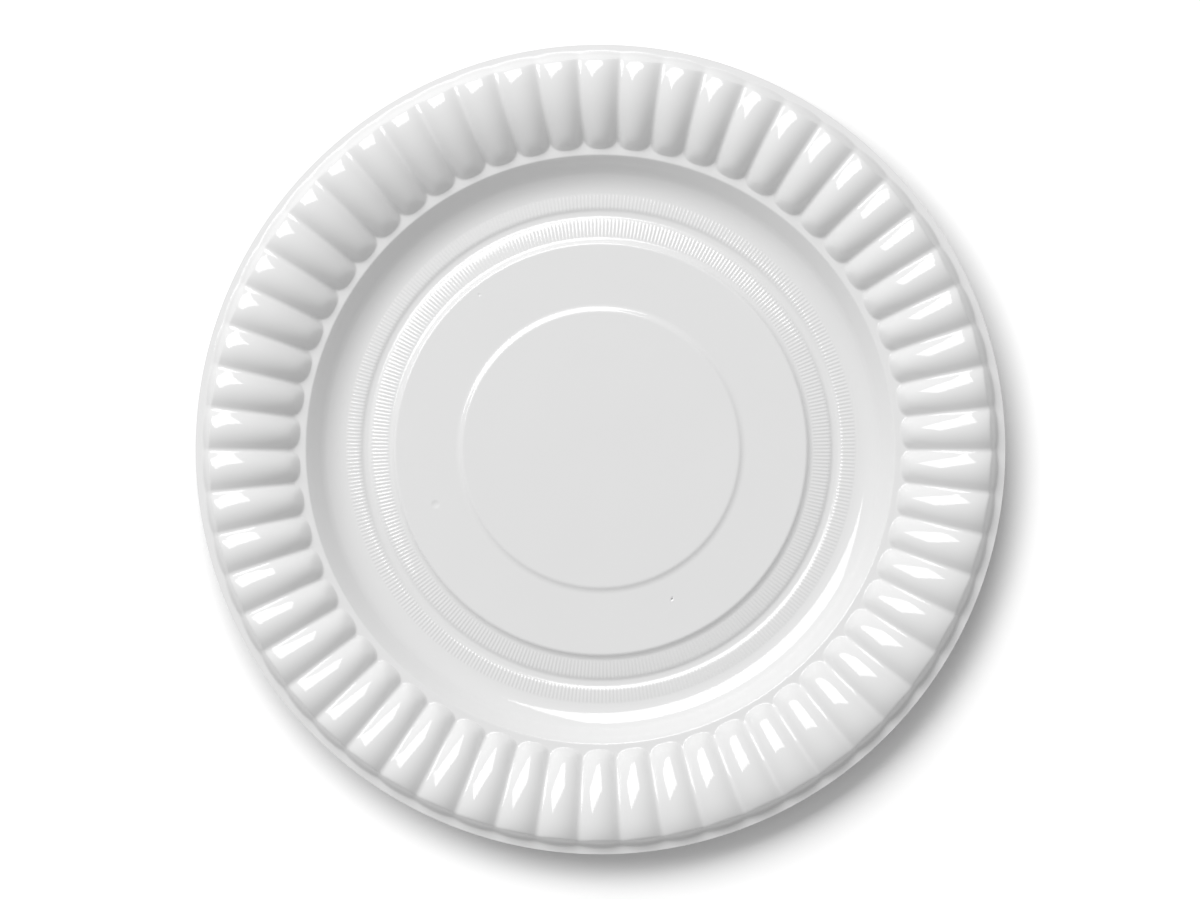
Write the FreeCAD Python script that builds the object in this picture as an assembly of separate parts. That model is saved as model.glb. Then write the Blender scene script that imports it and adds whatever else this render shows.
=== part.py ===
"""Disposable plastic plate, 220 mm across, pressed from one thin sheet.

Millimetres, +Z up. The origin is the centre of the ring that the plate stands on, at table height.
The profile follows the upper face outwards from the axis, and the underside lies one wall below it.
"""
import FreeCAD, Part
import math
import os

from FreeCAD import Vector

# The sheet
WALL = 0.35

# Raised panel in the middle of the floor, and the raised disc around it
PANEL_RADIUS = 37.7
PANEL_STEP_WIDTH = 1.1
PANEL_STEP_HEIGHT = 0.585
DISC_RADIUS = 56.0
DISC_STEP_WIDTH = 1.0
DISC_STEP_HEIGHT = 1.07

# Band for the fine inner ribs, which falls slightly outwards
INNER_BAND_WIDTH = 5.4
INNER_BAND_FALL = 0.9

# Groove that makes the standing ring, and the flat band for the fine outer ribs
GROOVE_INNER_STEP_WIDTH = 0.8
GROOVE_INNER_STEP_HEIGHT = 0.515
GROOVE_FLOOR_WIDTH = 1.45
GROOVE_OUTER_STEP_WIDTH = 0.85
GROOVE_OUTER_STEP_HEIGHT = 0.415
OUTER_BAND_WIDTH = 4.0

# Sloping wall of the dish, rounded into the floor, and the plain shoulder above it
FLOOR_FILLET_RADIUS = 10.2
WALL_SLOPE = 51.0
SHOULDER_HEIGHT = 7.7
SHOULDER_WIDTH = 2.0
SHOULDER_SLOPE = 2.0

# Rim of convex flutes side by side, with a sharp valley between neighbours
PLATE_RADIUS = 110.0
PLATE_HEIGHT = 16.3
FLUTE_COUNT = 58
CREST_DEPTH = 1.9
EDGE_DEPTH = 2.1
CROWN_FOOT_SLOPE = 52.0
VALLEY_FOOT_SLOPE = 28.0
CREST_TO_EDGE_WIDTH = 5.5
CREST_TO_EDGE_FALL = 0.95
EDGE_SLOPE = -22.0

# Skirt outside the flutes, and the lip that ends the sheet
VALLEY_SKIRT_WIDTH = 1.6
CROWN_SKIRT_WIDTH = 2.0
LIP_WIDTH = 2.2
LIP_HEIGHT = 11.0
LIP_SLOPE = -6.5

# How finely the curved stretches are divided into flat facets; FACETS_ACROSS is even.
# FOOT_CROWDING over 1 brings the rows of facets closer together towards the flutes' blunt feet.
FILLET_CHORDS = 3
STRIPS_TO_CREST = 3
STRIPS_TO_EDGE = 2
FACETS_ACROSS = 4
FOOT_CROWDING = 1.6

AXIS = Vector(0, 0, 1)
CENTRE = Vector(0, 0, 0)
PITCH = 360.0 / FLUTE_COUNT


def heading(slope):
    """Unit profile direction that points outwards at a slope in degrees."""
    angle = math.radians(slope)
    return Vector(math.cos(angle), 0, math.sin(angle))


def below(direction):
    """Unit vector square to a profile direction, towards the underside."""
    return Vector(direction.z, 0, -direction.x).normalize()


def under_corner(corner, before, after, wall=WALL):
    """Underside corner that lies one wall from both of the lines that meet in an upper corner."""
    first = below(before)
    second = below(after)
    return corner + (first + second) * (wall / (1 + first.dot(second)))


def turned(point, degrees):
    """A point carried round the axis."""
    return FreeCAD.Rotation(AXIS, degrees).multVec(point)


def floor_fillet(arc_start_radius, floor_height):
    """Points along the arc that rounds the floor up into the wall, from its start to its end."""
    centre = Vector(arc_start_radius, 0, floor_height + FLOOR_FILLET_RADIUS)
    slopes = [WALL_SLOPE * index / FILLET_CHORDS for index in range(FILLET_CHORDS + 1)]
    return [centre + below(heading(slope)) * FLOOR_FILLET_RADIUS for slope in slopes]


def dish_profile():
    """Corners of the dish's upper face, from the axis to the shoulder's outer edge."""
    groove_height = WALL
    inner_band_height = groove_height + GROOVE_INNER_STEP_HEIGHT
    disc_foot_height = inner_band_height + INNER_BAND_FALL
    disc_height = disc_foot_height + DISC_STEP_HEIGHT
    panel_height = disc_height + PANEL_STEP_HEIGHT
    outer_band_height = groove_height + GROOVE_OUTER_STEP_HEIGHT

    disc_foot = DISC_RADIUS + DISC_STEP_WIDTH
    groove_top = disc_foot + INNER_BAND_WIDTH
    groove_inner = groove_top + GROOVE_INNER_STEP_WIDTH
    groove_outer = groove_inner + GROOVE_FLOOR_WIDTH
    outer_band = groove_outer + GROOVE_OUTER_STEP_WIDTH
    fillet = floor_fillet(outer_band + OUTER_BAND_WIDTH, outer_band_height)

    wall_top = fillet[-1]
    wall_rise = SHOULDER_HEIGHT - wall_top.z
    shoulder = wall_top + Vector(wall_rise / math.tan(math.radians(WALL_SLOPE)), 0, wall_rise)
    shoulder_rise = SHOULDER_WIDTH * math.tan(math.radians(SHOULDER_SLOPE))

    corners = [
        Vector(0, 0, panel_height),
        Vector(PANEL_RADIUS, 0, panel_height),
        Vector(PANEL_RADIUS + PANEL_STEP_WIDTH, 0, disc_height),
        Vector(DISC_RADIUS, 0, disc_height),
        Vector(disc_foot, 0, disc_foot_height),
        Vector(groove_top, 0, inner_band_height),
        Vector(groove_inner, 0, groove_height),
        Vector(groove_outer, 0, groove_height),
        Vector(outer_band, 0, outer_band_height),
    ]
    return corners + fillet + [shoulder, shoulder + Vector(SHOULDER_WIDTH, 0, shoulder_rise)]


def dish_underside(upper):
    """Corners of the dish's underside; the valleys of the flutes go on from its last one."""
    corners = [upper[0] - AXIS * WALL]
    ways = [end - start for start, end in zip(upper, upper[1:])]
    ways.append(heading(VALLEY_FOOT_SLOPE))
    for corner, before, after in zip(upper[1:], ways, ways[1:]):
        corners.append(under_corner(corner, before, after))
    return corners


def lip_profile():
    """Corners of the lip: upper inner, upper outer, lower outer and lower inner."""
    way = heading(LIP_SLOPE)
    edge = Vector(PLATE_RADIUS, 0, LIP_HEIGHT)
    inner = edge - way * (LIP_WIDTH / way.x)
    valley_edge_height = PLATE_HEIGHT - CREST_DEPTH - CREST_TO_EDGE_FALL
    skirt_way = Vector(VALLEY_SKIRT_WIDTH, 0, inner.z - valley_edge_height)
    return [inner, edge, edge - AXIS * (WALL / way.x), under_corner(inner, skirt_way, way)]


def round_faces(corners):
    """Faces of revolution on the lines between profile corners."""
    lines = [Part.makeLine(start, end) for start, end in zip(corners, corners[1:])]
    return [line.revolve(CENTRE, AXIS, 360) for line in lines]


def smooth_line(start, start_slope, end, end_slope, steps):
    """Stations, each a point and a direction, at steps from 0 to 1 on a curve with given end slopes."""
    third = (end.x - start.x) / 3
    start_pole = start + Vector(third, 0, third * math.tan(math.radians(start_slope)))
    end_pole = end - Vector(third, 0, third * math.tan(math.radians(end_slope)))
    curve = Part.BezierCurve()
    curve.setPoles([start, start_pole, end_pole, end])
    return [(curve.value(step), curve.tangent(step)[0]) for step in steps]


def flute_line(foot, foot_slope, crest, edge):
    """Stations of a crown or a valley, from just past the shoulder over the crest to the edge."""
    rise_steps = [((index + 1) / STRIPS_TO_CREST) ** FOOT_CROWDING for index in range(STRIPS_TO_CREST)]
    fall_steps = [(index + 1) / STRIPS_TO_EDGE for index in range(STRIPS_TO_EDGE)]
    rise = smooth_line(foot, foot_slope, crest, 0, rise_steps)
    return rise + smooth_line(crest, 0, edge, EDGE_SLOPE, fall_steps)


def across(valley, crown):
    """Points on the arc across one flute, from the left valley over the crown to the right one."""
    arc = Part.Arc(turned(valley, -PITCH / 2), crown, turned(valley, PITCH / 2))
    return arc.discretize(FACETS_ACROSS + 1)


def straight_across(point):
    """Ends of the chord under one flute at a round edge, repeated to pair with the points across."""
    side = FACETS_ACROSS // 2
    return [turned(point, -PITCH / 2)] * (side + 1) + [turned(point, PITCH / 2)] * side


def valley_wall(valley, crown):
    """Wall measured in the valley's own plane, where the sheet's two sides tilt towards each other."""
    half_width = valley.x * math.sin(math.radians(PITCH / 2))
    tilt = 2 * math.atan2((crown - valley).Length, half_width)
    return WALL / math.cos(tilt)


def flute_rows(foot, lip_inner):
    """Rows of points across one flute, from its foot to its edge: on the upper face and on the underside."""
    valley_crest = Vector(0, 0, PLATE_HEIGHT - CREST_DEPTH)
    valley_edge = Vector(lip_inner.x - VALLEY_SKIRT_WIDTH, 0, valley_crest.z - CREST_TO_EDGE_FALL)
    valley_crest.x = valley_edge.x - CREST_TO_EDGE_WIDTH
    crown_crest = Vector(valley_crest.x, 0, PLATE_HEIGHT)
    crown_edge = Vector(lip_inner.x - CROWN_SKIRT_WIDTH, 0, valley_edge.z + EDGE_DEPTH)
    valleys = flute_line(foot, VALLEY_FOOT_SLOPE, valley_crest, valley_edge)
    crowns = flute_line(foot, CROWN_FOOT_SLOPE, crown_crest, crown_edge)

    upper = []
    lower = []
    for (valley, valley_way), (crown, crown_way) in zip(valleys[:-1], crowns[:-1]):
        valley_under = valley + below(valley_way) * valley_wall(valley, crown)
        upper.append(across(valley, crown))
        lower.append(across(valley_under, crown + below(crown_way) * WALL))

    edge_way = heading(EDGE_SLOPE)
    edge_wall = valley_wall(valley_edge, crown_edge)
    valley_edge_under = under_corner(valley_edge, edge_way, lip_inner - valley_edge, edge_wall)
    crown_edge_under = under_corner(crown_edge, edge_way, lip_inner - crown_edge)
    upper.append(across(valley_edge, crown_edge))
    lower.append(across(valley_edge_under, crown_edge_under))
    return upper, lower


def flat_facet(points):
    """Triangle on three points, or nothing where two of them are one."""
    corners = [point for index, point in enumerate(points) if not point.isEqual(points[index - 1], 0)]
    if len(corners) < 3:
        return []
    return [Part.Face(Part.makePolygon(corners + corners[:1]))]


def strip_faces(inner, outer):
    """Facets between two rows of points, with mirrored diagonals on the flute's two sides."""
    faces = []
    for index in range(FACETS_ACROSS):
        near, far = (index, index + 1) if index < FACETS_ACROSS // 2 else (index + 1, index)
        faces += flat_facet([inner[near], inner[far], outer[far]])
        faces += flat_facet([inner[near], outer[far], outer[near]])
    return faces


def sliver_face(point):
    """Flat face between the chord under one flute and the round edge that it cuts short."""
    left = turned(point, -PITCH / 2)
    right = turned(point, PITCH / 2)
    edge = Part.Arc(left, point, right).toShape()
    return Part.Face(Part.Wire([edge, Part.makeLine(right, left)]))


def flute_faces(foot, rows, lip_inner):
    """Faces of one side of one flute, from the shoulder to the lip."""
    faces = [sliver_face(foot), sliver_face(lip_inner)]
    rows = [straight_across(foot)] + rows + [straight_across(lip_inner)]
    for inner, outer in zip(rows, rows[1:]):
        faces += strip_faces(inner, outer)
    return faces


def plate():
    """The whole plate as one closed sheet."""
    dish = dish_profile()
    dish_under = dish_underside(dish)
    lip = lip_profile()
    upper_rows, lower_rows = flute_rows(dish[-1], lip[0])
    one_flute = flute_faces(dish[-1], upper_rows, lip[0])
    one_flute += flute_faces(dish_under[-1], lower_rows, lip[-1])

    faces = round_faces(dish) + round_faces(dish_under) + round_faces(lip)
    for index in range(FLUTE_COUNT):
        for face in one_flute:
            copy = face.copy()
            copy.rotate(CENTRE, AXIS, (index + 0.5) * PITCH)
            faces.append(copy)
    shell = Part.makeShell(faces)
    shell.sewShape()
    solid = Part.makeSolid(shell)
    if solid.Volume < 0:
        solid.reverse()
    return solid


os.makedirs("parts", exist_ok=True)
shape = plate()
box = shape.BoundBox
print("solids", len(shape.Solids), "valid", shape.isValid(), "faces", len(shape.Faces))
print("volume mm3", round(shape.Volume), "area mm2", round(shape.Area))
print("box", [round(value, 3) for value in (box.XMin, box.YMin, box.ZMin, box.XMax, box.YMax, box.ZMax)])
shape.exportStep("parts/plate.step")
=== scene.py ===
"""Disposable plastic plate: one thin sheet pressed into a dish with a fluted rim, on a pale table.

Metres, +Z up. The origin is the centre of the ring that the plate stands on, at table height.
The sheet's upper face is made first, zone by zone from the middle outwards. Then it gets its
thickness.
"""
import math

import bmesh
import bpy
from mathutils import Euler, Matrix, Vector


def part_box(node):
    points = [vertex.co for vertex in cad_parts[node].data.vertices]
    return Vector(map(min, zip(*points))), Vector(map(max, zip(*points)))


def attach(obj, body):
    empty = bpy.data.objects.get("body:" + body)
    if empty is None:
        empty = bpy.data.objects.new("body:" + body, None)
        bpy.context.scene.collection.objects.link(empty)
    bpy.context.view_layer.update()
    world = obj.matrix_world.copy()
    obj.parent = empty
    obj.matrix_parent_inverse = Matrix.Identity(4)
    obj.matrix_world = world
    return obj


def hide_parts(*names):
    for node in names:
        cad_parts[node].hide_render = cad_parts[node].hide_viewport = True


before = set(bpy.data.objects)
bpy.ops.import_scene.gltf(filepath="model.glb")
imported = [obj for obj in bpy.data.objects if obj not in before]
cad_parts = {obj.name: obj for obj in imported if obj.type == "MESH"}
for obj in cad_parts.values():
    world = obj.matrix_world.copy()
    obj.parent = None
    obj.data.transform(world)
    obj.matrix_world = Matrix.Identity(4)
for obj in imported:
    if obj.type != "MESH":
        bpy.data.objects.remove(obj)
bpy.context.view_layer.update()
PLATE_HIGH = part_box("plate")[1]

bl_info = {
    "name": "Disposable plate",
    "version": (1, 0, 0),
    "blender": (4, 5, 0),
    "location": "3D View > Sidebar > Plate",
    "description": "Presses a fluted plastic plate from one thin sheet and lays it on a pale table",
    "category": "Object",
}

MM = 0.001
FULL_TURN = 2 * math.pi
MERGE_DISTANCE = 0.01 * MM
BEARING_TOLERANCE = 1e-5
SMOOTH_ANGLE = math.radians(60)

# The outline that the sheet may fill, from the CAD plate
OUTER_RADIUS = min(PLATE_HIGH.x, PLATE_HIGH.y) - 0.005 * MM
CREST_HEIGHT = PLATE_HIGH.z - 0.01 * MM


# Sizes and colours

def length(name, description, millimetres):
    """A length that the user can change, given in millimetres."""
    return bpy.props.FloatProperty(
        name=name, description=description, default=millimetres * MM, unit="LENGTH", precision=5
    )


def slope(name, description, degrees):
    """A slope that the user can change, given in degrees."""
    return bpy.props.FloatProperty(
        name=name, description=description, default=math.radians(degrees), subtype="ANGLE"
    )


def share(name, description, default):
    """A share from 0 to 1 that the user can change."""
    return bpy.props.FloatProperty(
        name=name, description=description, default=default, min=0, max=1, subtype="FACTOR"
    )


def colour(name, description, default):
    """A colour that the user can change."""
    return bpy.props.FloatVectorProperty(
        name=name, description=description, default=default, size=3, min=0, max=1, subtype="COLOR"
    )


def count(name, description, default):
    """A number of like things that the user can change."""
    return bpy.props.IntProperty(name=name, description=description, default=default, min=3)


class DishSizes(bpy.types.PropertyGroup):
    """Sizes of the round zones, from the middle to the shoulder.

    A radius is where two straight lines meet.
    """

    wall: length("Wall", "Thickness of the sheet", 0.35)
    panel_radius: length("Panel radius", "Radius of the raised panel in the middle", 37.72)
    panel_height: length("Panel height", "Height of the panel above the disc", 0.585)
    panel_slope: slope("Panel step slope", "Slope of the step around the panel", 28)
    panel_upper_rounding: length("Panel upper rounding", "Radius at the top of that step", 1.9)
    panel_lower_rounding: length("Panel lower rounding", "Radius at the foot of that step", 3.1)
    disc_radius: length("Disc radius", "Radius of the raised disc around the panel", 56.15)
    disc_height: length("Disc height", "Height of the disc above the start of the inner band", 1.07)
    disc_slope: slope("Disc step slope", "Slope of the step around the disc", 52)
    disc_upper_rounding: length("Disc upper rounding", "Radius at the top of that step", 1.05)
    disc_lower_rounding: length("Disc lower rounding", "Radius at the foot of that step", 2.1)
    band_width: length("Inner band width", "Width of the inner ribbed band", 5.5)
    band_slope: slope("Inner band slope", "How steeply the inner band falls outwards", 10.2)
    groove_depth: length("Groove depth", "Depth of the groove below the inner band", 0.516)
    groove_slope: slope("Groove slope", "Slope of the groove's inner side", 33)
    groove_upper_rounding: length(
        "Groove upper rounding", "Radius between the inner band and the groove", 2.2
    )
    groove_lower_rounding: length(
        "Groove lower rounding", "Radius at the foot of the groove's inner side", 1.55
    )
    groove_floor: length("Groove floor", "Width of the ring that the plate stands on", 1.5)
    rise_height: length("Rise height", "Height of the outer band above the groove", 0.415)
    rise_slope: slope("Rise slope", "Slope of the groove's outer side", 26)
    rise_rounding: length(
        "Rise rounding", "Radius at the foot and the top of the groove's outer side", 2.0
    )
    outer_slope: slope("Outer band slope", "How steeply the outer band falls outwards", 3)
    fillet_start: length(
        "Fillet start", "Radius at which the floor is level before it rounds up", 69.55
    )
    fillet_rounding: length("Fillet rounding", "Radius between the floor and the wall", 10.2)
    wall_start: length("Wall start", "Radius at which the plain wall starts, outside the ribs", 69.6)
    fillet_turn: slope("Fillet turn", "Slope at which the fillet tightens", 31)
    wall_foot_rounding: length("Wall foot rounding", "Radius of the tighter part of the fillet", 6)
    wall_foot_slope: slope(
        "Wall foot slope", "Slope at the end of the fillet, a little over the wall's", 52.5
    )
    wall_slope: slope("Wall slope", "Slope of the dish's wall", 50)
    shoulder_height: length("Shoulder height", "Height where wall and shoulder meet", 7.85)
    shoulder_rounding: length("Shoulder rounding", "Radius between the wall and the shoulder", 0.8)
    shoulder_width: length("Shoulder width", "Width of the plain shoulder inside the flutes", 1.3)
    shoulder_slope: slope("Shoulder slope", "Slope of the shoulder", 1.2)
    spare: length("Spare loop distance", "Distance of the spare loops that keep flats flat", 0.25)
    segments: count("Segments", "Number of segments around the plain round zones", 174)


class RibSizes(bpy.types.PropertyGroup):
    """Sizes of the two rings of fine ribs."""

    inner_count: count("Inner ribs", "Number of ribs on the inner band", 380)
    outer_count: count("Outer ribs", "Number of ribs on the outer band", 415)
    height: length("Height", "How far the ribs stand up from their band", 0.12)
    top_share: share("Top share", "Share of the pitch that is a rib's flat top", 0.24)
    side_share: share("Side share", "Share of the pitch that is each side of a rib", 0.26)
    end_length: length("End length", "Length of the slope at each end of a rib", 0.45)
    inner_start: length("Inner start", "Radius at which the inner ribs start", 57.87)
    inner_end: length("Inner end", "Radius at which the inner ribs end", 62.8)
    outer_start: length("Outer start", "Radius at which the outer ribs start", 65.32)
    outer_end: length("Outer end", "Radius at which the outer ribs end", 69.55)


class RimSizes(bpy.types.PropertyGroup):
    """Sizes of the fluted rim and the lip."""

    flute_count: count("Flutes", "Number of flutes around the rim", 58)
    nominal_radius: length("Nominal radius", "Radius at which a flute's section is laid out", 92)
    side_tilt: slope("Side tilt", "Steepest tilt of a flute's sides, beside the valley", 38.8)
    valley_radius: length("Valley rounding", "Radius at the bottom of the valleys", 1.2)
    depth: length("Flute depth", "Height of the crowns above the valleys at the crest", 1.9)
    foot_gain: length("Foot gain", "Extra depth of the flutes above their feet", 0.8)
    foot_gain_length: length("Foot gain length", "Distance over which that extra depth fades", 6)
    foot_radius: length("Foot radius", "Radius at which the flutes' blunt feet start", 81.8)
    foot_set_back: length("Foot set-back", "How much further out neighbouring feet meet", 1.8)
    foot_rounding: length("Foot rounding", "Height of the blend between the shoulder and a foot", 0.35)
    nose_slope: slope("Nose slope", "Slope of the feet's blunt fronts", 55)
    nose_rounding: length(
        "Nose rounding", "Height of the blend between a foot's front and the flute", 1.1
    )
    valley_foot_slope: slope("Valley foot slope", "Slope of the valleys at the feet", 47)
    turn_radius: length("Turn radius", "Radius at which the valleys start to level off", 86.3)
    turn_slope: slope("Turn slope", "Slope of the valleys there", 33)
    turn_rise: length("Turn rise", "Height of the valleys' crest above that place", 4.7)
    crest_radius: length("Crest radius", "Radius of the rim's crest", 100.7)
    edge_radius: length("Edge radius", "Radius at which the valleys turn down into the skirt", 106.2)
    edge_fall: length("Edge fall", "How far the valleys fall from the crest to that edge", 0.95)
    edge_slope: slope("Edge slope", "Slope of the valleys at that edge", -22)
    edge_lean: length("Edge lean", "How far the crowns' edge stands back from the valleys'", 0.35)
    skirt_bulge: length("Skirt bulge", "How far the skirt stands out under the crowns", 0.4)
    lip_inner_radius: length("Lip inner radius", "Radius at which the skirt meets the lip", 107.8)
    lip_fillet: length("Lip fillet", "Length of the rounding between the skirt and the lip", 0.3)
    lip_height: length("Lip height", "Height of the lip's outer edge", 11.0)
    lip_slope: slope("Lip slope", "Slope of the lip", -6.5)


class PlasticFinish(bpy.types.PropertyGroup):
    """Colour and surface of the sheet."""

    base: colour("Plastic", "Colour of the plastic", (0.785, 0.785, 0.785))
    cloud: colour("Cloud", "Colour where the sheet is drawn thinner", (0.77, 0.77, 0.77))
    roughness: share("Roughness", "Roughness of the moulded surface", 0.06)
    refraction: bpy.props.FloatProperty(
        name="Refraction", description="Refractive index of the plastic", default=1.57
    )


class StageSettings(bpy.types.PropertyGroup):
    """The table, the lights and the camera."""

    table: colour("Table", "Colour of the pale table", (0.99, 0.99, 0.99))
    bounce: colour(
        "Table bounce", "Colour of the light that the table throws back at the plate", (0.5, 0.5, 0.5)
    )
    table_size: length("Table size", "Width of the table", 6000)
    glow: share("Table glow", "Share by which the table looks brighter to the camera", 0.22)
    sky: share("Sky", "Strength of the even light from the softbox's side", 0.445)
    sky_fall: share("Sky fall", "Share by which the far side of the sky is dimmer", 0.2)
    softbox_power: bpy.props.FloatProperty(
        name="Softbox power", description="Power of the softbox in watts", default=84.5
    )
    softbox_width: length("Softbox width", "Width of the softbox, across its bearing", 3100)
    softbox_depth: length(
        "Softbox depth", "Depth of the softbox, from its top edge to its bottom edge", 2000
    )
    softbox_distance: length("Softbox distance", "Distance of the softbox from the plate", 3000)
    softbox_bearing: slope("Softbox bearing", "Direction of the softbox around the plate", 121.5)
    softbox_zenith: slope("Softbox zenith", "Angle of the softbox from straight overhead", 41)
    camera_distance: length("Camera distance", "Distance of the camera from the rim", 2500)
    camera_tilt: slope("Camera tilt", "How far the camera stands off the plate's axis", 2.1)
    camera_bearing: slope("Camera bearing", "Side on which the camera stands, counted from +X", 55)
    frame_width: length("Frame width", "Width of the frame at the rim", 325.9)


# Dents in the disc, in millimetres and degrees: distance from the axis and bearing, half length and
# half width, and depth
DENTS = (
    (47.5, 198.5, Vector((1.45, 1.4)), 0.16),
    (45.2, -64.5, Vector((0.9, 0.6)), 0.12),
    (53.5, 128.2, Vector((0.6, 0.6)), 0.08),
)
DENT_SEGMENTS = 20
# Rings of a dent: inset as a share of its half width, and drop as a share of its depth
DENT_RINGS = ((0.12, 0), (0.2, 0.3), (0.2, 0.4), (0.2, 0.2), (0.1, 0.1))

# Where the dish's zones end and meet
SEAM_STEP = 0.02 * MM
DISC_STEP_REACH = 1.66 * MM
GROOVE_END_SET_BACK = 0.42 * MM
GROOVE_FLOOR_ROW = 0.45

# Rows of a rib, inwards from its outer end or outwards from its inner end
INNER_RIB_ROW = 0.6 * MM
OUTER_RIB_ROW = 0.5 * MM

# Chords of half a flute's section
CROWN_CHORDS = 4
VALLEY_CHORDS = 2

# Rows of the rim, in millimetres from a foot's outline and from its brow, and as radii further out
FRONT_ROWS = (-0.25, -0.07, 0.07, 0.25)
BROW_ROWS = (-0.6, -0.2, 0.2, 0.6)
OPEN_ROWS = (90.2, 92.3, 94.7, 97.6)
LEAST_FRONT = 1.05 * MM
FRONT_MIDDLE_SET_BACK = 0.12 * MM
OPEN_START = 88.4 * MM
OPEN_START_ROWS = (0.4, 1)
EDGE_ROWS = (0.33, 0.58, 0.78, 0.92, 1)
VALLEY_FOOT_BLEND = 0.3 * MM
BROW_HALVINGS = 20

# Gap rows beside the round zones inside and outside the flutes
SHOULDER_GAP = 0.1 * MM
LIP_GAP = 0.15 * MM

# The turn from the flutes' edge into the skirt, rows down the skirt, and rows of the lip's fillet
EDGE_TURNS = (Vector((0.22 * MM, 0, -0.2 * MM)), Vector((0.14 * MM, 0, -0.25 * MM)))
SKIRT_ROWS = (0.2, 0.85)
LIP_FILLET_ROWS = ((0.35, 0.35), (0.7, 0.3))
LIP_START = 0.3 * MM
LIP_EDGE_ROW = 0.25 * MM
LIP_SEGMENTS_PER_FLUTE = 4

# Grain of the plastic and of the table
CLOUD_SCALE = 45.0
GRAIN_SCALE = 900.0
GRAIN_SHARE = 0.04
GRAIN_ROUGHNESS = 0.04
BUMP_STRENGTH = 0.12
BUMP_DISTANCE = 0.5 * MM
MOTTLE_SCALE = 8.0
MOTTLE_SHADE = 0.995

SENSOR_WIDTH = 36
VIEW_END = 20


# Work in edit mode

def deselect_objects():
    """Leaves object mode with nothing selected."""
    if bpy.context.object and bpy.context.object.mode != "OBJECT":
        bpy.ops.object.mode_set(mode="OBJECT")
    bpy.ops.object.select_all(action="DESELECT")


def edit(piece):
    """Opens one piece in edit mode, by vertices."""
    deselect_objects()
    bpy.context.view_layer.objects.active = piece
    piece.select_set(True)
    bpy.ops.object.mode_set(mode="EDIT")
    bpy.ops.mesh.select_mode(type="VERT")


def select_where(test):
    """Selects the vertices whose places pass a test, and nothing else."""
    bpy.ops.mesh.select_all(action="DESELECT")
    mesh = bpy.context.object.data
    shape = bmesh.from_edit_mesh(mesh)
    for vertex in shape.verts:
        vertex.select = bool(test(vertex.co))
    shape.select_flush(True)
    bmesh.update_edit_mesh(mesh)


def near(place):
    """A test for vertices at one place."""
    return lambda point: (point - place).length < MERGE_DISTANCE


def at_radius(*radii):
    """A test for vertices at any of some distances from the axis."""
    return lambda point: any(abs(point.xy.length - radius) < MERGE_DISTANCE for radius in radii)


def at_bearing(*bearings):
    """A test for vertices in any of some directions around the axis."""
    return lambda point: any(
        abs(math.atan2(point.y, point.x) - bearing) < BEARING_TOLERANCE for bearing in bearings
    )


def draw_path(points):
    """A new piece in edit mode: one line of vertices, extruded from point to point."""
    deselect_objects()
    bpy.ops.mesh.primitive_circle_add(vertices=3, radius=MM, location=points[0])
    bpy.ops.object.transform_apply(location=True)
    piece = bpy.context.object
    edit(piece)
    bpy.ops.mesh.select_all(action="SELECT")
    bpy.ops.mesh.merge(type="CENTER")
    for start, end in zip(points, points[1:]):
        bpy.ops.mesh.extrude_region_move(TRANSFORM_OT_translate={"value": end - start})
    return piece


def round_corner(before, corner, after, rounding, chords):
    """Rounds one corner of the path that is being edited to a radius."""
    turn = (corner - before).angle(after - corner)
    round_profile = (1 - math.tan(turn / 4) / math.sin(turn / 2) / 2) ** 2
    cut = rounding * math.tan(turn / 2)
    select_where(near(corner))
    bpy.ops.mesh.bevel(affect="VERTICES", offset=cut, segments=chords, profile=round_profile)


def spin_round(segments):
    """Spins the path that is being edited into a closed round zone."""
    bpy.ops.mesh.select_all(action="SELECT")
    bpy.ops.mesh.spin(
        steps=segments,
        dupli=False,
        angle=FULL_TURN,
        use_auto_merge=True,
        center=(0, 0, 0),
        axis=(0, 0, 1),
    )


def copy_round(copies):
    """Repeats the sector that is being edited all the way round, and joins the copies."""
    bpy.ops.mesh.select_all(action="SELECT")
    angle = FULL_TURN * (copies - 1) / copies
    bpy.ops.mesh.spin(steps=copies - 1, dupli=True, angle=angle, center=(0, 0, 0), axis=(0, 0, 1))
    bpy.ops.mesh.select_all(action="SELECT")
    bpy.ops.mesh.remove_doubles(threshold=MERGE_DISTANCE)


def loft(columns):
    """A new piece in edit mode: a skin over lines of points drawn side by side."""
    pieces = [draw_path(column) for column in columns]
    deselect_objects()
    for piece in pieces:
        piece.select_set(True)
    bpy.context.view_layer.objects.active = pieces[0]
    bpy.ops.object.join()
    edit(pieces[0])
    for first, second in zip(columns, columns[1:]):
        bearings = [math.atan2(column[0].y, column[0].x) for column in (first, second)]
        select_where(at_bearing(*bearings))
        bpy.ops.mesh.bridge_edge_loops()
    return pieces[0]


# Profile of the dish

def point(radius, height, bearing=0.0):
    """A place at a distance from the axis, at a height and in a direction around the axis."""
    return Vector((radius * math.cos(bearing), radius * math.sin(bearing), height))


def slope_line(corner, width, steepness):
    """The end of a straight line from a corner of the profile, from its width and its slope."""
    return corner + Vector((width, 0, width * math.tan(steepness)))


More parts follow.
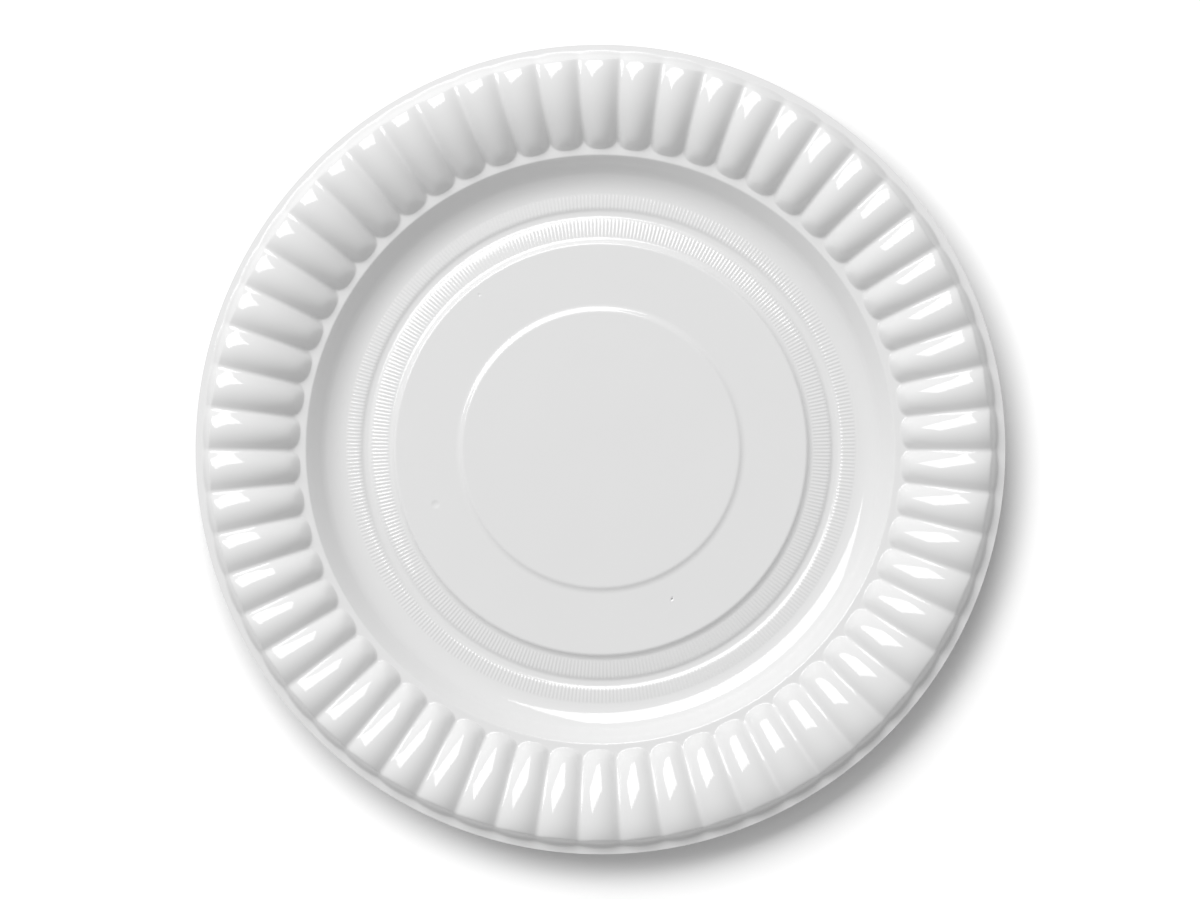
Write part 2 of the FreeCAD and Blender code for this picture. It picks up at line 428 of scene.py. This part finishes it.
class Dish:
    """Corners and heights of the dish's profile, from the sizes that the user sets."""

    def __init__(self, sizes):
        self.sizes = sizes
        floor = sizes.wall
        band_fall = sizes.band_width * math.tan(sizes.band_slope)
        panel_width = sizes.panel_height / math.tan(sizes.panel_slope)
        disc_width = sizes.disc_height / math.tan(sizes.disc_slope)
        groove_width = sizes.groove_depth / math.tan(sizes.groove_slope)
        rise_width = sizes.rise_height / math.tan(sizes.rise_slope)
        band = floor + sizes.groove_depth + band_fall
        disc = band + sizes.disc_height
        self.panel = point(sizes.panel_radius, disc + sizes.panel_height)
        self.panel_foot = slope_line(self.panel, panel_width, -sizes.panel_slope)
        self.disc = point(sizes.disc_radius, disc)
        self.disc_foot = slope_line(self.disc, disc_width, -sizes.disc_slope)
        self.groove = slope_line(self.disc_foot, sizes.band_width, -sizes.band_slope)
        self.groove_foot = slope_line(self.groove, groove_width, -sizes.groove_slope)
        self.rise = self.groove_foot + Vector((sizes.groove_floor, 0, 0))
        self.rise_top = slope_line(self.rise, rise_width, sizes.rise_slope)

    def inner_height(self, radius):
        """Height of the inner band and of the rounding over the edge of the groove."""
        sizes = self.sizes
        rounding = sizes.groove_upper_rounding
        cut = rounding * math.tan((sizes.groove_slope - sizes.band_slope) / 2)
        along = Vector((cut, 0, -cut * math.tan(sizes.band_slope)))
        start = self.groove - along * math.cos(sizes.band_slope)
        if radius < start.x:
            return start.z + (start.x - radius) * math.tan(sizes.band_slope)
        tilt = math.asin(math.sin(sizes.band_slope) + (radius - start.x) / rounding)
        return start.z - rounding * (math.cos(sizes.band_slope) - math.cos(tilt))

    def outer_height(self, radius):
        """Height of the outer band, of the rounding at its inner edge and of the fillet's start."""
        sizes = self.sizes
        rounding = sizes.rise_rounding
        fall = sizes.outer_slope
        cut = rounding * math.tan((sizes.rise_slope + fall) / 2)
        start = self.rise_top + Vector((cut * math.cos(fall), 0, -cut * math.sin(fall)))
        end = sizes.fillet_start - sizes.fillet_rounding * math.sin(fall)
        if radius < start.x:
            tilt = math.asin((start.x - radius) / rounding - math.sin(fall))
            return start.z + rounding * (math.cos(tilt) - math.cos(fall))
        if radius < end:
            return start.z - (radius - start.x) * math.tan(fall)
        tilt = math.asin((sizes.fillet_start - radius) / sizes.fillet_rounding)
        flat = start.z - (end - start.x) * math.tan(fall)
        return flat - sizes.fillet_rounding * (math.cos(tilt) - math.cos(fall))


def press_zone(path, segments):
    """A round zone spun from a path. Each place comes with the radius that rounds it and its chords."""
    places = [place for place, rounding, chords in path]
    piece = draw_path(places)
    for index, (place, rounding, chords) in enumerate(path):
        if rounding:
            round_corner(places[index - 1], place, places[index + 1], rounding, chords)
    spin_round(segments)
    return piece


def plain(place):
    """A place on a path that isn't rounded."""
    return place, 0, 0


def tangent_length(rounding, turn):
    """Distance from a corner to the start of the arc that rounds it."""
    return rounding * math.tan(turn / 2)


def press_panel(dish):
    """The raised panel in the middle and the step around it."""
    sizes = dish.sizes
    start = dish.panel.x - tangent_length(sizes.panel_upper_rounding, sizes.panel_slope)
    middle = start / 4
    path = [
        plain(point(middle, dish.panel.z)),
        plain(point(start - sizes.spare, dish.panel.z)),
        (dish.panel, sizes.panel_upper_rounding, 4),
        (dish.panel_foot, sizes.panel_lower_rounding, 4),
        plain(point(inner_disc_edge(dish), dish.disc.z)),
    ]
    piece = press_zone(path, sizes.segments)
    select_where(at_radius(middle))
    bpy.ops.mesh.edge_face_add()
    return piece


def inner_disc_edge(dish):
    """Radius at which the flat disc starts, outside the panel's step."""
    sizes = dish.sizes
    cut = tangent_length(sizes.panel_lower_rounding, sizes.panel_slope)
    return dish.panel_foot.x + cut + sizes.spare


def outer_disc_edge(dish):
    """Radius at which the flat disc ends, inside its own step."""
    sizes = dish.sizes
    return dish.disc.x - tangent_length(sizes.disc_upper_rounding, sizes.disc_slope) - sizes.spare


def press_dent(radius, bearing, height, size, depth):
    """A small round dent in the disc, left with an open edge so that the disc closes around it."""
    deselect_objects()
    place = point(radius, height, bearing)
    bpy.ops.mesh.primitive_circle_add(
        vertices=DENT_SEGMENTS, radius=size.x, fill_type="NGON", location=place
    )
    piece = bpy.context.object
    bpy.ops.object.transform_apply(location=True)
    edit(piece)
    bpy.ops.mesh.select_all(action="SELECT")
    bpy.ops.transform.resize(value=(1, size.y / size.x, 1), center_override=place)
    bpy.ops.transform.rotate(value=bearing, orient_axis="Z", center_override=place)
    bpy.ops.mesh.select_mode(type="FACE")
    for inset, drop in DENT_RINGS:
        bpy.ops.mesh.inset(thickness=inset * size.y)
        bpy.ops.transform.translate(value=(0, 0, -drop * depth))
    return piece


def close_disc(dish):
    """Closes the flat disc between its two steps, around the dents."""
    inner = inner_disc_edge(dish)
    outer = outer_disc_edge(dish)
    mesh = bpy.context.object.data
    select_where(at_radius(inner, outer))
    shape = bmesh.from_edit_mesh(mesh)
    for vertex in shape.verts:
        if vertex.is_boundary and inner < vertex.co.xy.length < outer:
            vertex.select = True
    shape.select_flush(True)
    bmesh.update_edit_mesh(mesh)
    bpy.ops.mesh.fill(use_beauty=True)


def press_disc_step(dish):
    """The step around the raised disc, down to the start of the inner ribs."""
    sizes = dish.sizes
    end = sizes.disc_radius + DISC_STEP_REACH
    path = [
        plain(point(outer_disc_edge(dish), dish.disc.z)),
        (dish.disc, sizes.disc_upper_rounding, 4),
        (dish.disc_foot, sizes.disc_lower_rounding, 5),
        plain(point(end, dish.inner_height(end))),
    ]
    return press_zone(path, sizes.segments)


def press_groove(dish):
    """The groove whose underside is the standing ring."""
    sizes = dish.sizes
    end = dish.rise_top.x - GROOVE_END_SET_BACK
    path = [
        plain(dish.groove.lerp(dish.groove_foot, 0.5)),
        (dish.groove_foot, sizes.groove_lower_rounding, 4),
        plain(dish.groove_foot.lerp(dish.rise, GROOVE_FLOOR_ROW)),
        (dish.rise, sizes.rise_rounding, 4),
        plain(point(end, dish.outer_height(end))),
    ]
    return press_zone(path, sizes.segments)


def press_wall(dish):
    """The fillet, the sloping wall and the plain shoulder above it."""
    sizes = dish.sizes
    start = point(sizes.wall_start, dish.outer_height(sizes.wall_start))
    tilt = math.asin((sizes.wall_start - sizes.fillet_start) / sizes.fillet_rounding)
    along = Vector((math.cos(tilt), 0, math.sin(tilt)))
    first_cut = tangent_length(sizes.fillet_rounding, sizes.fillet_turn - tilt)
    second_cut = tangent_length(sizes.wall_foot_rounding, sizes.wall_foot_slope - sizes.fillet_turn)
    middle = start + along * first_cut
    first_run = first_cut + second_cut + SEAM_STEP
    second_run = second_cut + SEAM_STEP
    foot = slope_line(middle, first_run * math.cos(sizes.fillet_turn), sizes.fillet_turn)
    crease = slope_line(foot, second_run * math.cos(sizes.wall_foot_slope), sizes.wall_foot_slope)
    rise = sizes.shoulder_height - crease.z
    shoulder = slope_line(crease, rise / math.tan(sizes.wall_slope), sizes.wall_slope)
    end = slope_line(shoulder, sizes.shoulder_width, sizes.shoulder_slope)
    path = [
        plain(start - along * SEAM_STEP),
        (middle, sizes.fillet_rounding, 6),
        (foot, sizes.wall_foot_rounding, 4),
        plain(crease),
        (shoulder, sizes.shoulder_rounding, 4),
        plain(end),
    ]
    return press_zone(path, sizes.segments), end


# Ribs

def press_ribs(rows, height_at, ribs, number):
    """A ring of fine ribs: one rib drawn, skinned and repeated, on a band whose height is given."""
    pitch = FULL_TURN / number
    top_end = ribs.side_share + ribs.top_share
    foot = 2 * ribs.side_share + ribs.top_share
    bearings = [0, ribs.side_share, top_end, foot, 1]
    lifts = [0, ribs.height, ribs.height, 0, 0]
    columns = []
    for bearing, lift in zip(bearings, lifts):
        column = []
        for index, radius in enumerate(rows):
            stands = lift if 0 < index < len(rows) - 1 else 0
            column.append(point(radius, height_at(radius) + stands, bearing * pitch))
        columns.append(column)
    piece = loft(columns)
    copy_round(number)
    return piece


def press_inner_ribs(dish, ribs):
    """The inner ring of ribs, which runs a little way over the edge of the groove."""
    end = ribs.inner_end - ribs.end_length
    start = ribs.inner_start + ribs.end_length
    rows = [ribs.inner_start, start, end - INNER_RIB_ROW, end, ribs.inner_end]
    return press_ribs(rows, dish.inner_height, ribs, ribs.inner_count)


def press_outer_ribs(dish, ribs):
    """The outer ring of ribs, which starts on the side of the groove."""
    start = ribs.outer_start + ribs.end_length
    end = ribs.outer_end - ribs.end_length
    rows = [ribs.outer_start, start, start + OUTER_RIB_ROW, end, ribs.outer_end]
    return press_ribs(rows, dish.outer_height, ribs, ribs.outer_count)


# Rim

def flute_section(rim):
    """Half a flute's section, from crown to valley: shares of the half pitch and of the depth."""
    half_width = rim.nominal_radius * math.pi / rim.flute_count
    crown_radius = half_width / math.sin(rim.side_tilt) - rim.valley_radius
    drop = (crown_radius + rim.valley_radius) * (1 - math.cos(rim.side_tilt))
    section = []
    for index in range(CROWN_CHORDS + 1):
        tilt = rim.side_tilt * index / CROWN_CHORDS
        section.append((crown_radius * math.sin(tilt), crown_radius * (1 - math.cos(tilt))))
    for index in reversed(range(VALLEY_CHORDS)):
        tilt = rim.side_tilt * index / VALLEY_CHORDS
        away = rim.valley_radius * math.sin(tilt)
        section.append((half_width - away, drop - rim.valley_radius * (1 - math.cos(tilt))))
    return [(across / half_width, 1 - down / drop) for across, down in section]


def eased(start, start_slope, end, end_slope, radius):
    """Height at a radius on a smooth line between two places with given slopes."""
    width = end.x - start.x
    way = (radius - start.x) / width
    rise = end.z - start.z
    bend = math.tan(start_slope) * width * (way - 2 * way ** 2 + way ** 3)
    bend += math.tan(end_slope) * width * (way ** 3 - way ** 2)
    return start.z + rise * (3 * way ** 2 - 2 * way ** 3) + bend


def blend_low(first, second, blend):
    """The lower of two heights, blended where they come closer than a given height."""
    near_share = max(0, 1 - abs(first - second) / blend)
    return min(first, second) - near_share ** 2 * blend / 4


def blend_high(first, second, blend):
    """The higher of two heights, blended where they come closer than a given height."""
    return -blend_low(-first, -second, blend)


class Rim:
    """The fluted surface outside the shoulder."""

    def __init__(self, rim, shoulder_end, shoulder_slope):
        self.rim = rim
        self.start = shoulder_end
        self.shoulder_rise = math.tan(shoulder_slope)
        self.crest = point(rim.crest_radius, CREST_HEIGHT - rim.depth)
        self.turn = point(rim.turn_radius, self.crest.z - rim.turn_rise)
        self.edge = point(rim.edge_radius, self.crest.z - rim.edge_fall)

    def shoulder(self, radius):
        """Height of the plain shoulder at a radius."""
        return self.start.z + (radius - self.start.x) * self.shoulder_rise

    def valley(self, radius):
        """Height of the valleys at a radius, from their feet to the edge."""
        rim = self.rim
        if radius < self.turn.x:
            run = self.turn.x - radius
            steepening = math.tan(rim.valley_foot_slope) - math.tan(rim.turn_slope)
            bend = steepening / (self.turn.x - rim.foot_radius)
            return self.turn.z - run * math.tan(rim.turn_slope) - bend * run ** 2 / 2
        if radius < self.crest.x:
            return eased(self.turn, rim.turn_slope, self.crest, 0, radius)
        return eased(self.crest, 0, self.edge, rim.edge_slope, radius)

    def depth(self, radius):
        """Height of the crowns above the valleys at a radius."""
        rim = self.rim
        gain = math.exp((self.turn.x - radius) / rim.foot_gain_length)
        gain -= math.exp((self.turn.x - self.crest.x) / rim.foot_gain_length)
        return rim.depth + rim.foot_gain * gain

    def front(self, radius, outline):
        """Height of a foot's blunt front, which starts at an outline."""
        return self.shoulder(outline) + (radius - outline) * math.tan(self.rim.nose_slope)

    def place(self, radius, rise, outline):
        """The upper face at a radius, on a line that stands at a share of the flute's depth."""
        rim = self.rim
        flute = self.valley(radius) + self.depth(radius) * rise
        height = blend_low(self.front(radius, outline), flute, rim.nose_rounding)
        blend = rim.foot_rounding + (1 - rise) * VALLEY_FOOT_BLEND
        height = blend_high(self.shoulder(radius), height, blend)
        past = max(0, radius - self.crest.x) / (self.edge.x - self.crest.x)
        return point(radius - rim.edge_lean * rise * past ** 2, height)

    def brow(self, rise, outline):
        """Radius at which a foot's front meets the flute above it."""
        low, high = outline, self.turn.x
        for halving in range(BROW_HALVINGS):
            middle = (low + high) / 2
            if self.front(middle, outline) < self.valley(middle) + self.depth(middle) * rise:
                low = middle
            else:
                high = middle
        return low

    def lip_height(self, radius):
        """Height of the lip at a radius."""
        return self.rim.lip_height + (radius - OUTER_RADIUS) * math.tan(self.rim.lip_slope)

    def row_radii(self, rise, outline):
        """Radii of the rows along one line of the rim, from a foot's outline to the flutes' edge."""
        brow = max(self.brow(rise, outline), outline + LEAST_FRONT)
        radii = [outline + step * MM for step in FRONT_ROWS]
        radii.append((outline + brow) / 2 - FRONT_MIDDLE_SET_BACK)
        radii += [brow + step * MM for step in BROW_ROWS]
        first = radii[-1]
        radii += [first + (OPEN_START - first) * way for way in OPEN_START_ROWS]
        radii += [radius * MM for radius in OPEN_ROWS]
        radii.append(self.crest.x)
        radii += [self.crest.x + (self.edge.x - self.crest.x) * way for way in EDGE_ROWS]
        return radii

    def skirt_and_lip(self, edge, rise):
        """Places from the flutes' edge down the skirt and out to the round part of the lip."""
        rim = self.rim
        turn_1 = edge + EDGE_TURNS[0]
        turn_2 = turn_1 + EDGE_TURNS[1]
        foot_radius = rim.lip_inner_radius + rim.skirt_bulge * rise
        lip_inner = point(foot_radius, self.lip_height(foot_radius))
        skirt = (turn_2 - lip_inner).normalized()
        lip_start = lip_inner + skirt * rim.lip_fillet
        lip_end = point(foot_radius + rim.lip_fillet, self.lip_height(foot_radius + rim.lip_fillet))
        places = [turn_1, turn_2]
        places += [turn_2.lerp(lip_start, way) for way in SKIRT_ROWS]
        places.append(lip_start)
        for way, pull in LIP_FILLET_ROWS:
            chord = lip_start.lerp(lip_end, way)
            places.append(chord + (lip_inner - chord) * pull)
        places.append(lip_end)
        round_radius = rim.lip_inner_radius + rim.skirt_bulge + rim.lip_fillet + LIP_GAP
        places.append(point(round_radius, self.lip_height(round_radius)))
        return places

    def column(self, across, rise):
        """Places along one line of the rim, from the shoulder to the lip."""
        rim = self.rim
        set_back = 1 - math.sqrt(max(0, 1 - across ** 2))
        outline = rim.foot_radius + rim.foot_set_back * set_back
        inner = self.start.x + SHOULDER_GAP
        places = [point(inner, self.shoulder(inner))]
        places += [self.place(radius, rise, outline) for radius in self.row_radii(rise, outline)]
        return places + self.skirt_and_lip(places[-1], rise)


def press_flutes(surface):
    """The ring of flutes with its skirt: half a flute skinned, mirrored at its valley and repeated."""
    rim = surface.rim
    half_pitch = math.pi / rim.flute_count
    columns = []
    for across, rise in flute_section(rim):
        turn = Matrix.Rotation((1 - across) * half_pitch, 3, "Z")
        columns.append([turn @ place for place in surface.column(across, max(0, rise))])
    piece = loft(columns)
    deselect_objects()
    piece.select_set(True)
    bpy.context.view_layer.objects.active = piece
    bpy.ops.object.transform_apply(location=True, rotation=True, scale=True)
    mirror = piece.modifiers.new("Other half", "MIRROR")
    mirror.use_axis = (False, True, False)
    mirror.merge_threshold = MERGE_DISTANCE
    bpy.ops.object.modifier_apply(modifier=mirror.name)
    edit(piece)
    copy_round(rim.flute_count)
    return piece


def press_lip(surface, segments):
    """The plain outer part of the lip."""
    rim = surface.rim
    start = rim.lip_inner_radius + rim.skirt_bulge + rim.lip_fillet + LIP_START
    path = []
    for radius in (start, OUTER_RADIUS - LIP_EDGE_ROW, OUTER_RADIUS):
        path.append(plain(point(radius, surface.lip_height(radius))))
    return press_zone(path, segments)


# The sheet

def bridge(first, second):
    """Skins the gap between two open round edges of the piece that is being edited."""
    select_where(at_radius(first, second))
    bpy.ops.mesh.bridge_edge_loops()


def join_zones(pieces):
    """Joins the zones into one piece and leaves it in edit mode."""
    deselect_objects()
    for piece in pieces:
        piece.select_set(True)
    bpy.context.view_layer.objects.active = pieces[0]
    bpy.ops.object.join()
    bpy.ops.object.transform_apply(location=True, rotation=True, scale=True)
    edit(pieces[0])
    bpy.ops.mesh.select_all(action="SELECT")
    bpy.ops.mesh.remove_doubles(threshold=MERGE_DISTANCE)
    face_up(pieces[0])
    return pieces[0]


def open_radii(piece):
    """Distances of the open edges from the axis, from the middle outwards."""
    shape = bmesh.from_edit_mesh(piece.data)
    radii = []
    for radius in sorted(vertex.co.xy.length for vertex in shape.verts if vertex.is_boundary):
        if not radii or radius - radii[-1] > MERGE_DISTANCE:
            radii.append(radius)
    return radii


def face_up(piece):
    """Turns every face of an open sheet to its upper side."""
    bpy.ops.mesh.select_all(action="SELECT")
    bpy.ops.mesh.normals_make_consistent(inside=False)
    bpy.ops.mesh.select_all(action="DESELECT")
    shape = bmesh.from_edit_mesh(piece.data)
    for face in shape.faces:
        face.select = face.normal.z < 0
    bmesh.update_edit_mesh(piece.data)
    bpy.ops.mesh.select_mode(type="FACE")
    bpy.ops.mesh.flip_normals()
    bpy.ops.mesh.select_mode(type="VERT")


def thicken(piece, wall):
    """Gives the sheet its wall, below the upper face."""
    bpy.ops.object.mode_set(mode="OBJECT")
    solid = piece.modifiers.new("Wall", "SOLIDIFY")
    solid.thickness = wall
    solid.offset = -1
    solid.use_even_offset = True
    bpy.ops.object.modifier_apply(modifier=solid.name)
    bpy.ops.object.select_all(action="DESELECT")
    piece.select_set(True)
    bpy.ops.object.shade_smooth_by_angle(angle=SMOOTH_ANGLE)


class PLATE_OT_press_sheet(bpy.types.Operator):
    """Press the plate from one thin sheet"""

    bl_idname = "plate.press_sheet"
    bl_label = "Press the plate"

    def execute(self, context):
        scene = context.scene
        dish = Dish(scene.plate_dish)
        wall_zone, shoulder_end = press_wall(dish)
        surface = Rim(scene.plate_rim, shoulder_end, scene.plate_dish.shoulder_slope)
        zones = [
            press_panel(dish),
            press_disc_step(dish),
            press_inner_ribs(dish, scene.plate_ribs),
            press_groove(dish),
            press_outer_ribs(dish, scene.plate_ribs),
            wall_zone,
            press_flutes(surface),
            press_lip(surface, LIP_SEGMENTS_PER_FLUTE * scene.plate_rim.flute_count),
        ]
        for radius, bearing, size, depth in DENTS:
            turn = math.radians(bearing)
            zones.append(press_dent(radius * MM, turn, dish.disc.z, size * MM, depth * MM))
        sheet = join_zones(zones)
        sheet.name = "plate_sheet"
        close_disc(dish)
        radii = open_radii(sheet)
        for first, second in zip(radii[0:-1:2], radii[1:-1:2]):
            bridge(first, second)
        bpy.ops.mesh.select_all(action="SELECT")
        bpy.ops.mesh.remove_doubles(threshold=MERGE_DISTANCE)
        face_up(sheet)
        thicken(sheet, scene.plate_dish.wall)
        sheet.data.materials.clear()
        sheet.data.materials.append(plastic(scene.plate_plastic))
        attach(sheet, "root")
        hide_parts("plate")
        return {"FINISHED"}


# Materials

class Paint:
    """The node tree of one material, and the one method that adds nodes to it."""

    def __init__(self, name):
        self.material = bpy.data.materials.new(name)
        self.material.use_nodes = True
        self.tree = self.material.node_tree
        self.tree.nodes.clear()

    def node(self, kind, settings=None, inputs=None, output=0):
        """Adds a node: its settings come first, then the values or links of its sockets."""
        added = self.tree.nodes.new(kind)
        for name, value in (settings or {}).items():
            setattr(added, name, value)
        for name, value in (inputs or {}).items():
            if isinstance(value, Shade):
                self.tree.links.new(value.socket, added.inputs[name])
            else:
                added.inputs[name].default_value = value
        return Shade(self, added.outputs[output]) if added.outputs else added


class Shade:
    """A value that varies over a surface. Arithmetic on it adds Math nodes."""

    def __init__(self, paint, socket):
        self.paint = paint
        self.socket = socket

    def maths(self, operation, first, second=0.0):
        """One Math node on two values."""
        return self.paint.node("ShaderNodeMath", {"operation": operation}, {0: first, 1: second})

    def __add__(self, other):
        return self.maths("ADD", self, other)

    __radd__ = __add__

    def __mul__(self, other):
        return self.maths("MULTIPLY", self, other)

    __rmul__ = __mul__

    def __sub__(self, other):
        return self.maths("SUBTRACT", self, other)

    def __rsub__(self, other):
        return self.maths("SUBTRACT", other, self)


def plastic(finish):
    """Glossy white plastic, slightly uneven where the sheet was drawn thin."""
    paint = Paint("white_plastic")
    place = paint.node("ShaderNodeTexCoord", output="Object")
    clouds = paint.node(
        "ShaderNodeTexNoise",
        inputs={"Vector": place, "Scale": CLOUD_SCALE, "Detail": 2.0, "Roughness": 0.5},
    )
    grain = paint.node(
        "ShaderNodeTexNoise",
        inputs={"Vector": place, "Scale": GRAIN_SCALE, "Detail": 2.0, "Roughness": 0.6},
    )
    tone = paint.node(
        "ShaderNodeMix",
        {"data_type": "RGBA"},
        {0: clouds, 6: (*finish.cloud, 1), 7: (*finish.base, 1)},
        output=2,
    )
    bump = paint.node(
        "ShaderNodeBump",
        inputs={
            "Height": clouds + GRAIN_SHARE * grain,
            "Strength": BUMP_STRENGTH,
            "Distance": BUMP_DISTANCE,
        },
    )
    shader = paint.node(
        "ShaderNodeBsdfPrincipled",
        inputs={
            "Base Color": tone,
            "Roughness": finish.roughness + GRAIN_ROUGHNESS * grain - GRAIN_ROUGHNESS / 2,
            "IOR": finish.refraction,
            "Normal": bump,
        },
    )
    paint.node("ShaderNodeOutputMaterial", inputs={"Surface": shader})
    return paint.material


def table_paint(settings):
    """Pale matt table, a little brighter to the camera, which keeps the plate's shadow."""
    paint = Paint("pale_table")
    place = paint.node("ShaderNodeTexCoord", output="Object")
    camera = paint.node("ShaderNodeLightPath", output="Is Camera Ray")
    gloss = paint.node("ShaderNodeLightPath", output="Is Glossy Ray")
    mottle = paint.node("ShaderNodeTexNoise", inputs={"Vector": place, "Scale": MOTTLE_SCALE})
    tone = paint.node(
        "ShaderNodeMix",
        {"data_type": "RGBA"},
        {0: mottle, 6: (*settings.table, 1), 7: (*[MOTTLE_SHADE * part for part in settings.table], 1)},
        output=2,
    )
    matt = paint.node("ShaderNodeBsdfDiffuse", inputs={"Color": tone})
    dull = paint.node("ShaderNodeBsdfDiffuse", inputs={"Color": (*settings.bounce, 1)})
    dark = paint.node("ShaderNodeBsdfDiffuse", inputs={"Color": (0, 0, 0, 1)})
    white = paint.node("ShaderNodeBsdfDiffuse", inputs={"Color": (1, 1, 1, 1)})
    glow = paint.node(
        "ShaderNodeMixShader", inputs={0: (camera + gloss) * settings.glow, 1: dark, 2: white}
    )
    seen = paint.node("ShaderNodeMixShader", inputs={0: camera + gloss, 1: dull, 2: matt})
    both = paint.node("ShaderNodeAddShader", inputs={0: seen, 1: glow})
    paint.node("ShaderNodeOutputMaterial", inputs={"Surface": both})
    return paint.material


# Stage

def lay_table(settings):
    """The pale table at z = 0."""
    deselect_objects()
    bpy.ops.mesh.primitive_plane_add(size=settings.table_size, location=(0, 0, 0))
    table = bpy.context.object
    table.name = "table_top"
    edit(table)
    bpy.ops.mesh.select_all(action="SELECT")
    bpy.ops.mesh.subdivide(number_cuts=3)
    bpy.ops.object.mode_set(mode="OBJECT")
    table.data.materials.append(table_paint(settings))


def hang_softbox(settings):
    """The wide softbox that gives the highlights and the shadow."""
    deselect_objects()
    zenith = settings.softbox_zenith
    toward = point(math.sin(zenith), math.cos(zenith), settings.softbox_bearing)
    bpy.ops.object.light_add(type="AREA", location=toward * settings.softbox_distance)
    softbox = bpy.context.object
    softbox.name = "softbox"
    softbox.rotation_euler = toward.to_track_quat("Z", "Y").to_euler()
    softbox.data.shape = "RECTANGLE"
    softbox.data.size = settings.softbox_width
    softbox.data.size_y = settings.softbox_depth
    softbox.data.energy = settings.softbox_power


def light_sky(settings):
    """Even light from all sides, a little dimmer opposite the softbox."""
    sky = bpy.data.worlds.new("studio_sky")
    sky.use_nodes = True
    tree = sky.node_tree
    background = tree.nodes["Background"]
    background.inputs["Strength"].default_value = settings.sky
    way = tree.nodes.new("ShaderNodeTexCoord")
    side = tree.nodes.new("ShaderNodeVectorMath")
    side.operation = "DOT_PRODUCT"
    side.inputs[1].default_value = point(0.5, 0, settings.softbox_bearing)
    tree.links.new(way.outputs["Generated"], side.inputs[0])
    share_seen = tree.nodes.new("ShaderNodeMath")
    share_seen.inputs[1].default_value = 0.5
    tree.links.new(side.outputs["Value"], share_seen.inputs[0])
    tone = tree.nodes.new("ShaderNodeMix")
    tone.data_type = "RGBA"
    dim = 1 - settings.sky_fall
    tone.inputs[6].default_value = (dim, dim, dim, 1)
    tone.inputs[7].default_value = (1, 1, 1, 1)
    tree.links.new(share_seen.outputs[0], tone.inputs[0])
    tree.links.new(tone.outputs[2], background.inputs["Color"])
    bpy.context.scene.world = sky


def place_camera(settings):
    """The camera, almost straight above the plate."""
    side = point(settings.camera_tilt, 0, settings.camera_bearing)
    turn = Euler((-side.y, side.x, 0))
    aim = Vector((0, 0, bpy.context.scene.plate_rim.lip_height))
    away = turn.to_matrix() @ Vector((0, 0, settings.camera_distance))
    bpy.ops.object.camera_add(location=aim + away, rotation=turn)
    camera = bpy.context.object
    camera.name = "camera"
    camera.data.sensor_width = SENSOR_WIDTH
    camera.data.lens = SENSOR_WIDTH * settings.camera_distance / settings.frame_width
    camera.data.clip_end = VIEW_END
    bpy.context.scene.camera = camera


class PLATE_OT_set_stage(bpy.types.Operator):
    """Lay the table and set up the lights and the camera"""

    bl_idname = "plate.set_stage"
    bl_label = "Set the stage"

    def execute(self, context):
        settings = context.scene.plate_stage
        lay_table(settings)
        hang_softbox(settings)
        light_sky(settings)
        place_camera(settings)
        context.scene.view_settings.view_transform = "Standard"
        return {"FINISHED"}


class PLATE_PT_sidebar(bpy.types.Panel):
    """Lists the plate's operators and sizes"""

    bl_label = "Plate"
    bl_idname = "PLATE_PT_sidebar"
    bl_space_type = "VIEW_3D"
    bl_region_type = "UI"
    bl_category = "Plate"

    def draw(self, context):
        layout = self.layout
        for operator in (PLATE_OT_press_sheet, PLATE_OT_set_stage):
            layout.operator(operator.bl_idname)
        for name in GROUPS:
            box = layout.box()
            group = getattr(context.scene, name)
            for field in group.bl_rna.properties.keys():
                if field not in ("rna_type", "name"):
                    box.prop(group, field)


GROUPS = {
    "plate_dish": DishSizes,
    "plate_ribs": RibSizes,
    "plate_rim": RimSizes,
    "plate_plastic": PlasticFinish,
    "plate_stage": StageSettings,
}
CLASSES = list(GROUPS.values()) + [PLATE_OT_press_sheet, PLATE_OT_set_stage, PLATE_PT_sidebar]


def register():
    """Adds the classes and their settings to Blender."""
    for kind in CLASSES:
        bpy.utils.register_class(kind)
    for name, kind in GROUPS.items():
        setattr(bpy.types.Scene, name, bpy.props.PointerProperty(type=kind))


def unregister():
    """Takes the classes and their settings away again."""
    for name in GROUPS:
        delattr(bpy.types.Scene, name)
    for kind in reversed(CLASSES):
        bpy.utils.unregister_class(kind)


def main():
    """Makes the plate and its stage."""
    register()
    bpy.ops.plate.press_sheet()
    bpy.ops.plate.set_stage()


if __name__ == "__main__":
    main()
